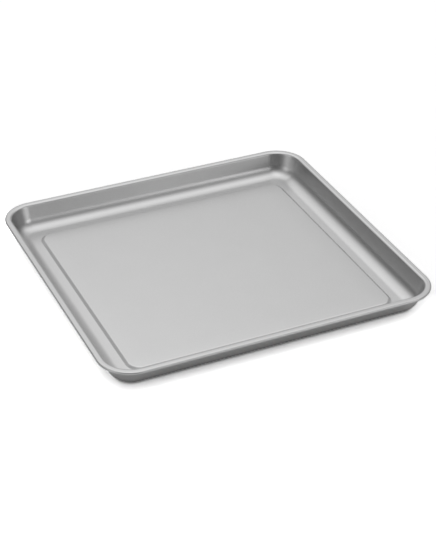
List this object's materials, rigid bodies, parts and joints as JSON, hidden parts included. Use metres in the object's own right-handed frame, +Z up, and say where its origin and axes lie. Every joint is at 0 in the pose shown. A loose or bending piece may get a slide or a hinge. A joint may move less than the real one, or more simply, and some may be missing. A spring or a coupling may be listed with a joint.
{
  "type": "cookie sheet",
  "caption": "Rectangular rimmed cookie sheet in coated steel, with a raised flat baking panel, leaning walls and an edge rolled around a wire.",
  "frame": {"origin": "middle of the tray on the plane that the underside of the channel rests on", "axes": "+X along the longer side, +Y from the front edge to the rear edge, +Z up out of the open top"},
  "size_m": [0.324, 0.3104, 0.0236],
  "materials": {
    "coated_steel": "satin grey metallic non-stick coating",
    "steel_wire": "drawn bright wire"
  },
  "bodies": {
    "root": {"pan": "coated_steel", "rim_wire": "steel_wire"}
  },
  "joints": []
}
